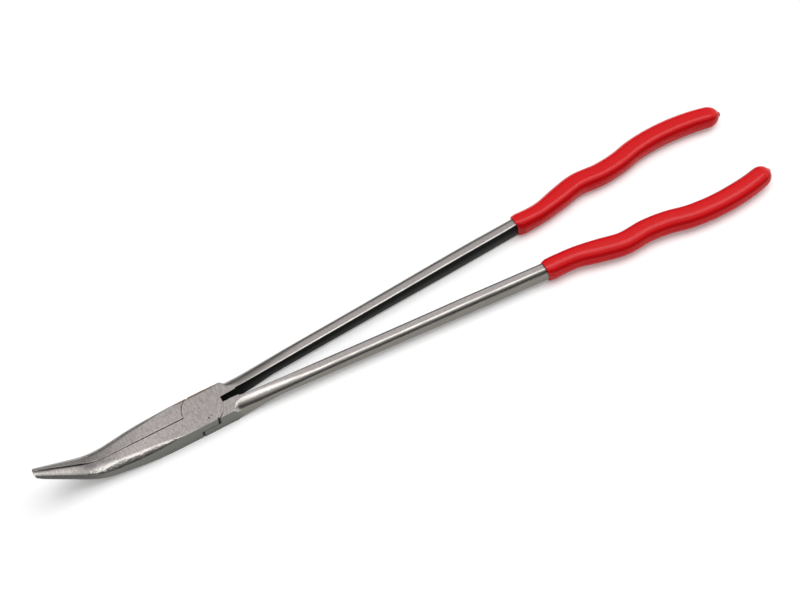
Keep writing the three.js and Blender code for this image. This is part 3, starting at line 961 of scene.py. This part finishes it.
def arm_corners(settings, x, rounded, width, half):
    """The arm's outer corners, above and below, from broken edges to the full round of the D."""
    head, arms, grips = settings.head, settings.arms, settings.grips
    under = along(((head.rear, 0), (arms.neck_end + arms.under_round, 1)), x)
    flat = along(
        (
            (arms.crease, arms.neck_flat),
            (arms.neck_end, arms.neck_flat),
            (arms.flat_reach, arms.flat_width),
        ),
        x,
    )
    squat = along(
        (
            (arms.neck_end, 1),
            (2 * arms.neck_end, arms.squat),
            (grips.start - arms.squat_end, arms.squat),
            (grips.start - arms.squat_done, 1),
        ),
        x,
    )
    corner = (mix(head.edge, width - flat, rounded), mix(head.edge, squat * half, rounded))
    under_corner = (mix(head.edge, width - flat, under), mix(head.edge, half, under))
    return corner, under_corner


def arm_ring(settings, x, inner, crest):
    """One ring of the bare arm: the rounded forging, cut by the head's ground faces."""
    head, arms = settings.head, settings.arms
    middle = settings.grips.diameter / 2
    outer, half = arm_shape(settings, x)
    rounded = along(((head.rear, 0), (head.rear + arms.shoulder, 1)), x)
    corner, under_corner = arm_corners(settings, x, rounded, outer - inner, half)
    lowest = middle - arms.neck_lift
    deep = along(((arms.crease, middle), (arms.neck_end, lowest), (2 * arms.neck_end, 0)), x)
    low = mix(0, middle - max(half, deep), rounded)
    high = mix(head.thickness, middle + half, rounded)
    edge = along(((arms.crease, head.edge), (arms.flat_reach, arms.edge)), x)
    roll = along(((arms.neck_end, edge), (arms.flat_reach, crest)), x)
    points = section(inner, outer, low, high, (roll, edge), corner, under_corner, steps=16)
    if x < arms.neck_end:
        points = [(across, min(max(up, 0), head.thickness)) for across, up in points]
    return place_ring(Vector((x, 0, 0)), ACROSS, UP, points)


def grip_path(settings, side, steps=12):
    """Points of the grip's middle line, with their distances from the rim."""
    arms, grips = settings.arms, settings.grips
    knots = []
    for share, bow in GRIP_BOWS:
        x = grips.start + share * grips.reach + (0 if share else side * grips.rim_shift)
        knots.append(Vector((x, arm_line(arms, x) + arms.width / 2 + bow * MM, grips.diameter / 2)))
    knots = [2 * knots[0] - knots[1], *knots, 2 * knots[-1] - knots[-2]]
    points = []
    for k in range(1, len(knots) - 2):
        a, b, c, d = knots[k - 1 : k + 3]
        before, span, after = ((end - start).length ** 0.5 for start, end in ((a, b), (b, c), (c, d)))
        leaving = (c - b) + span * ((b - a) / before - (c - a) / (before + span))
        arriving = (c - b) + span * ((d - c) / after - (d - b) / (span + after))
        for step in range(steps):
            t = step / steps
            ease = 3 * t**2 - 2 * t**3
            bend = t * (1 - t) ** 2 * leaving - t**2 * (1 - t) * arriving
            points.append((1 - ease) * b + ease * c + bend)
    points.append(knots[-2])
    distances = [0.0]
    for a, b in zip(points, points[1:]):
        distances.append(distances[-1] + (b - a).length)
    return points, distances


class GripPath:
    """The grip's middle line: a frame at any distance from its rim."""

    def __init__(self, settings, side):
        self.side = side
        self.points, self.distances = grip_path(settings, side)
        self.length = self.distances[-1]
        self.lean = ((0, settings.grips.lean), (settings.grips.neck_length, 0))

    def at(self, distance):
        """The line's point at a distance from the rim."""
        distance = min(max(distance, 0), self.length)
        k = max(i for i, d in enumerate(self.distances[:-1]) if d <= distance)
        span = self.distances[k + 1] - self.distances[k]
        share = (distance - self.distances[k]) / span
        return self.points[k].lerp(self.points[k + 1], share)

    def frame(self, distance):
        """The point, the way sideways and the way up, which leans forward near the rim."""
        step = 0.8 * MM
        forward = (self.at(distance + step) - self.at(distance - step)).normalized()
        return self.at(distance), UP.cross(forward), UP - forward * along(self.lean, distance)


def grip_halves(settings, path, distance):
    """Half-width and half-height of a grip, without its rounded end."""
    arms, grips = settings.arms, settings.grips
    rim = grips.clearance + grips.rim_wall
    taper_start = path.length - grips.taper_length
    across = along(
        (
            (0, arms.width / 2 + rim),
            (grips.lip, grips.neck_width / 2),
            (grips.neck_length, grips.neck_width / 2),
            (2 * grips.neck_length, grips.width / 2),
            (taper_start, grips.width / 2),
            (path.length, grips.end_width / 2),
        ),
        distance,
    )
    up = along(
        (
            (0, arms.height_at_grip / 2 + rim),
            (grips.neck_length, grips.height / 2),
            (taper_start, grips.height / 2),
            (path.length, grips.end_height / 2),
        ),
        distance,
    )
    return across, up


def grip_section(across, up, steps=22):
    """The grip's section, squarer on its inner side."""
    outer = min(across, up)
    inner = GRIP_INNER_CORNER * outer
    return section(-across, across, -up, up, (inner, inner), (outer, outer), (outer, outer), steps)


def core_ring(settings, path, distance, spare):
    """The arm inside its grip, `spare` larger all round for the hollow."""
    arms, grips = settings.arms, settings.grips
    skin_across, skin_up = grip_halves(settings, path, distance)
    turned = along(((0, 0), (2 * grips.lip, 1)), distance)
    cover = grips.wall + grips.clearance
    across = mix(arms.width / 2, skin_across - cover, turned) + spare
    up = mix(arms.height_at_grip / 2, skin_up - cover, turned) + spare
    offset = mix(-GRIP_BOWS[0][1] * MM, 0, turned)
    outer_corner = (mix(arms.width - arms.flat_width + spare, across, turned), up)
    inner_corner = (mix(arms.edge + spare, across, turned), mix(arms.edge + spare, up, turned))
    points = section(
        offset - across, offset + across, -up, up, inner_corner, outer_corner, outer_corner, steps=16
    )
    return place_ring(*path.frame(distance), points)


def core_distances(settings, path, count=40):
    """Where the core's rings lie, from the end of the rim's lip to the end of the arm."""
    end = path.length - settings.grips.solid_end
    return spaced(2 * settings.grips.lip, end, count)


def arm_rings(settings, path):
    """The arm from the rivet's axis, past the step of the slot, to the end of its core."""
    head, arms = settings.head, settings.arms
    crest = arms.crest if path.side > 0 else arms.edge
    slot_end = arms.slot_length - arms.slot_step
    # Past here the arm changes slowly, so its rings lie wider apart
    straight_from = arms.neck_end + 4 * MM
    # Two of these keep the head's rear corners sharp
    beside_slot = [0, head.rear - 0.05 * MM, head.rear + 0.2 * MM]
    beside_slot += spaced(head.lap_radius, slot_end, 14)
    rings = [arm_ring(settings, x, slot_line(settings, x), crest) for x in sorted(beside_slot)]
    behind_slot = spaced(arms.slot_length, straight_from, 11)
    behind_slot += spaced(straight_from, path.points[0].x, 16)[1:]
    rings += [arm_ring(settings, x, arm_line(arms, x), crest) for x in behind_slot]
    rings += [core_ring(settings, path, distance, 0) for distance in core_distances(settings, path)]
    return rings


def forged_half(settings, path, is_upper):
    """A jaw on one side, the lap, and an arm on the other side."""
    head = settings.head
    jaw_side, arm_side = (-1, 1) if is_upper else (1, -1)
    far = 3 * head.thickness
    piece = skin("Half", jaw_rings(settings, is_upper), jaw_side)
    combine(piece, "UNION", skin("Arm", arm_rings(settings, path), arm_side))
    hub = drum(head.lap_radius, 0, head.thickness)
    half_width = head.width / 2
    combine(hub, "INTERSECT", block((-far, -half_width, -far), (far, half_width, far)))
    combine(piece, "UNION", hub)
    lap = 1 if is_upper else -1
    floor = head.thickness / 2 + lap * head.lap_gap / 2
    below, above = (-far, floor), (floor, head.thickness + far)
    combine(piece, "DIFFERENCE", drum(head.lap_radius + head.shoulder_gap, *(below if is_upper else above)))
    for end, span, side in ((-1, below, -1), (1, below, 1), (-1, above, 1), (1, above, -1)):
        x, y = end * head.notch_reach, side * half_width
        combine(piece, "DIFFERENCE", drum(head.notch_radius, *span, x, y, segments=32))
    combine(piece, "DIFFERENCE", rivet_form(settings, head.rivet_gap, far))
    return piece


def rivet_form(settings, spare, beyond):
    """The rivet, or the hole for it: `spare` all round and carried `beyond` both faces."""
    head = settings.head
    ends, shank = head.rivet_radius + spare, head.rivet_shank + spare
    outline = [
        (0, -beyond),
        (ends, -beyond),
        (ends, 0),
        (shank, head.rivet_sink),
        (shank, head.thickness - head.rivet_sink),
        (ends, head.thickness),
        (ends, head.thickness + beyond),
        (0, head.thickness + beyond),
    ]
    if not beyond:
        # The rivet itself ends at its two faces
        outline = outline[:1] + outline[2:6] + outline[7:]
    bm = bmesh.new()
    verts = [bm.verts.new((radius, 0, height)) for radius, height in outline]
    edges = [bm.edges.new(pair) for pair in zip(verts, verts[1:])]
    bmesh.ops.spin(
        bm, geom=verts + edges, cent=(0, 0, 0), axis=(0, 0, 1), angle=2 * math.pi, steps=128, use_merge=True
    )
    bmesh.ops.remove_doubles(bm, verts=bm.verts, dist=WELD)
    bmesh.ops.recalc_face_normals(bm, faces=bm.faces)
    return new_object("Rivet", bm)


def grip(settings, path, side, steps=240):
    """A dipped sleeve, open at its rim and closed by a rounded end with a nub."""
    grips = settings.grips
    dome_end = path.length - grips.nub
    body_end = dome_end - grips.dome

    def ring(distance, inset=0.0, least=DOME_END_SHARE):
        across, up = grip_halves(settings, path, distance)
        left = max(dome_end - distance, 0) / grips.dome
        swell = max(math.sqrt(1 - (1 - left) ** 2), least) if left < 1 else 1
        points = grip_section(swell * across - inset, swell * up - inset)
        return place_ring(*path.frame(distance), points)

    rings = []
    for turn in quarter_turn(4):
        place = grips.rim_round * (1 - math.cos(turn))
        rings.append(ring(place, inset=grips.rim_round * (1 - math.sin(turn))))
    rings += [ring(place) for place in spaced(grips.rim_round, body_end, steps)[1:-1]]
    rings += [ring(body_end + grips.dome * math.sin(turn)) for turn in quarter_turn(16)]
    rings += [ring(dome_end + share * grips.nub, least=least) for share, least in NUB]
    piece = skin("Grip", rings, side)
    forward = (path.at(1 * MM) - path.at(0)).normalized()
    hollow = [[p - forward * MM for p in core_ring(settings, path, 0, grips.clearance)]]
    for distance in core_distances(settings, path):
        hollow.append(core_ring(settings, path, distance, grips.clearance))
    return combine(piece, "DIFFERENCE", skin("Hollow", hollow, side))


# ---- Stage ----

# Half the floor's width, and its own light for the camera and for reflections
FLOOR_SIZE = 6
FLOOR_GLOW = 0.2

# The lamp's sides and place in metres, and its power in watts
SOFTBOX_SIZE = (1.7, 0.75)
SOFTBOX_PLACE = (0.4, 0.06, 1.2)
SOFTBOX_POWER = 10.5

# Tones of the surroundings, by the height of the direction
SKY = ((0.0, 0.3), (0.2, 0.22), (0.5, 0.35), (0.75, 0.6), (1.0, 0.7))

# Where the camera looks, from which direction, and how far away
CAMERA_TARGET = Vector((0.11356, 0.01021, 0))
CAMERA_AZIMUTH = math.radians(-30.39)
CAMERA_ELEVATION = math.radians(58.24)
CAMERA_DISTANCE = 0.74783

# In millimetres
CAMERA_LENS = 67.5
CAMERA_SENSOR = 36


def build_floor(settings):
    bm = bmesh.new()
    bmesh.ops.create_grid(bm, x_segments=1, y_segments=1, size=FLOOR_SIZE)
    floor = new_object("Floor", bm)
    floor.location.z = FRAME_LOW.z
    material, n, shader = new_material("Floor")
    rays = n.add("ShaderNodeLightPath").outputs
    seen = n.highest(rays["Is Camera Ray"], rays["Is Glossy Ray"])
    n.feed(
        shader,
        {
            "Base Color": settings.looks.floor,
            "Roughness": 0.9,
            "Specular IOR Level": 0.0,
            "Emission Color": WHITE,
            "Emission Strength": n.product(seen, FLOOR_GLOW),
        },
    )
    floor.data.materials.append(material)


def build_light():
    lamp = bpy.data.lights.new("Softbox", "AREA")
    lamp.shape = "RECTANGLE"
    lamp.size, lamp.size_y = SOFTBOX_SIZE
    lamp.energy = SOFTBOX_POWER
    add_object("Softbox", lamp).location = SOFTBOX_PLACE


def build_world():
    """Plain surroundings, with a light panel to one side and dark ones in front and behind."""
    world = bpy.data.worlds.new("Studio")
    bpy.context.scene.world = world
    world.use_nodes = True
    world.node_tree.nodes.clear()
    n = Nodes(world.node_tree)
    x, y, z = n.split(n.add("ShaderNodeTexCoord").outputs["Generated"])
    beside = n.within((x, 0.6, 0.9), (z, 0.06, 0.25), unit=1)
    in_front = n.within((y, -0.4, -0.65), (z, 0.12, 0.25), (z, 0.75, 0.6), unit=1)
    behind = n.within((y, 0.6, 0.85), (z, 0.45, 0.3), unit=1)
    colour = n.ramp(z, SKY)
    for panel, tone in ((beside, 1.0), (in_front, 0.02), (behind, 0.03)):
        colour = n.blend(panel, colour, dimmed(WHITE, tone))
    colour = n.blend(n.add("ShaderNodeLightPath").outputs["Is Camera Ray"], colour, WHITE)
    background = n.add("ShaderNodeBackground", {"Color": colour, "Strength": 1.0})
    n.add("ShaderNodeOutputWorld", {"Surface": background.outputs[0]})


def build_camera():
    lens = bpy.data.cameras.new("Camera")
    lens.lens, lens.sensor_width = CAMERA_LENS, CAMERA_SENSOR
    lens.clip_start, lens.clip_end = 0.01, 20
    level = math.cos(CAMERA_ELEVATION)
    back = Vector(
        (
            math.sin(CAMERA_AZIMUTH) * level,
            -math.cos(CAMERA_AZIMUTH) * level,
            math.sin(CAMERA_ELEVATION),
        )
    )
    camera = add_object("Camera", lens)
    camera.location = CAMERA_TARGET + CAMERA_DISTANCE * back
    camera.rotation_euler = (-back).to_track_quat("-Z", "Y").to_euler()
    bpy.context.scene.camera = camera


# ---- Operators ----


class PLIERS_OT_halves(bpy.types.Operator):
    """Build the two forged halves"""

    bl_idname = "pliers.halves"
    bl_label = "Forged Halves"

    def execute(self, context):
        settings = context.scene.pliers
        steel = steel_material(settings)
        for is_upper, word in ((True, "upper"), (False, "lower")):
            piece = forged_half(settings, GripPath(settings, 1 if is_upper else -1), is_upper)
            finish_piece(piece, word + "_forging", word, word + "_half", steel)
        return {"FINISHED"}


class PLIERS_OT_rivet(bpy.types.Operator):
    """Build the flush rivet"""

    bl_idname = "pliers.rivet"
    bl_label = "Rivet"

    def execute(self, context):
        settings = context.scene.pliers
        piece = rivet_form(settings, 0, 0)
        steel = bpy.data.materials["Forged steel"]
        finish_piece(piece, "flush_rivet", "lower", "pivot_rivet", steel)
        return {"FINISHED"}


class PLIERS_OT_grips(bpy.types.Operator):
    """Build the two dipped grips"""

    bl_idname = "pliers.grips"
    bl_label = "Grips"

    def execute(self, context):
        settings = context.scene.pliers
        vinyl = vinyl_material(settings)
        for side, body, word in ((1, "upper", "right"), (-1, "lower", "left")):
            piece = grip(settings, GripPath(settings, side), side)
            name, node = word + "_sleeve", word + "_grip"
            finish_piece(piece, name, body, node, vinyl, sharp=50, weighted=False)
        return {"FINISHED"}


class PLIERS_OT_stage(bpy.types.Operator):
    """Build the floor, the light and the camera"""

    bl_idname = "pliers.stage"
    bl_label = "Studio"

    def execute(self, context):
        settings = context.scene.pliers
        build_floor(settings)
        build_light()
        build_world()
        build_camera()
        context.scene.view_settings.view_transform = "Standard"
        return {"FINISHED"}


# ---- Panel and registration ----


class PLIERS_PT_panel(bpy.types.Panel):
    """Sizes, colours and buttons for the pliers"""

    bl_label = "Pliers"
    bl_idname = "PLIERS_PT_panel"
    bl_space_type = "VIEW_3D"
    bl_region_type = "UI"
    bl_category = "Pliers"

    def draw(self, context):
        settings = context.scene.pliers
        for group in (settings.head, settings.jaws, settings.arms, settings.grips, settings.looks):
            box = self.layout.box()
            for name in group.__annotations__:
                box.prop(group, name)
        for operator in OPERATORS:
            self.layout.operator(operator.bl_idname)


GROUPS = (HeadSizes, JawSizes, ArmSizes, GripSizes, Looks, PliersSettings)
OPERATORS = (PLIERS_OT_stage, PLIERS_OT_halves, PLIERS_OT_rivet, PLIERS_OT_grips)


def register():
    for cls in (*GROUPS, *OPERATORS, PLIERS_PT_panel):
        bpy.utils.register_class(cls)
    bpy.types.Scene.pliers = PointerProperty(type=PliersSettings)


def unregister():
    del bpy.types.Scene.pliers
    for cls in reversed((*GROUPS, *OPERATORS, PLIERS_PT_panel)):
        bpy.utils.unregister_class(cls)


def main():
    register()
    bpy.ops.pliers.stage()
    bpy.ops.pliers.halves()
    bpy.ops.pliers.rivet()
    bpy.ops.pliers.grips()


if __name__ == "__main__":
    main()
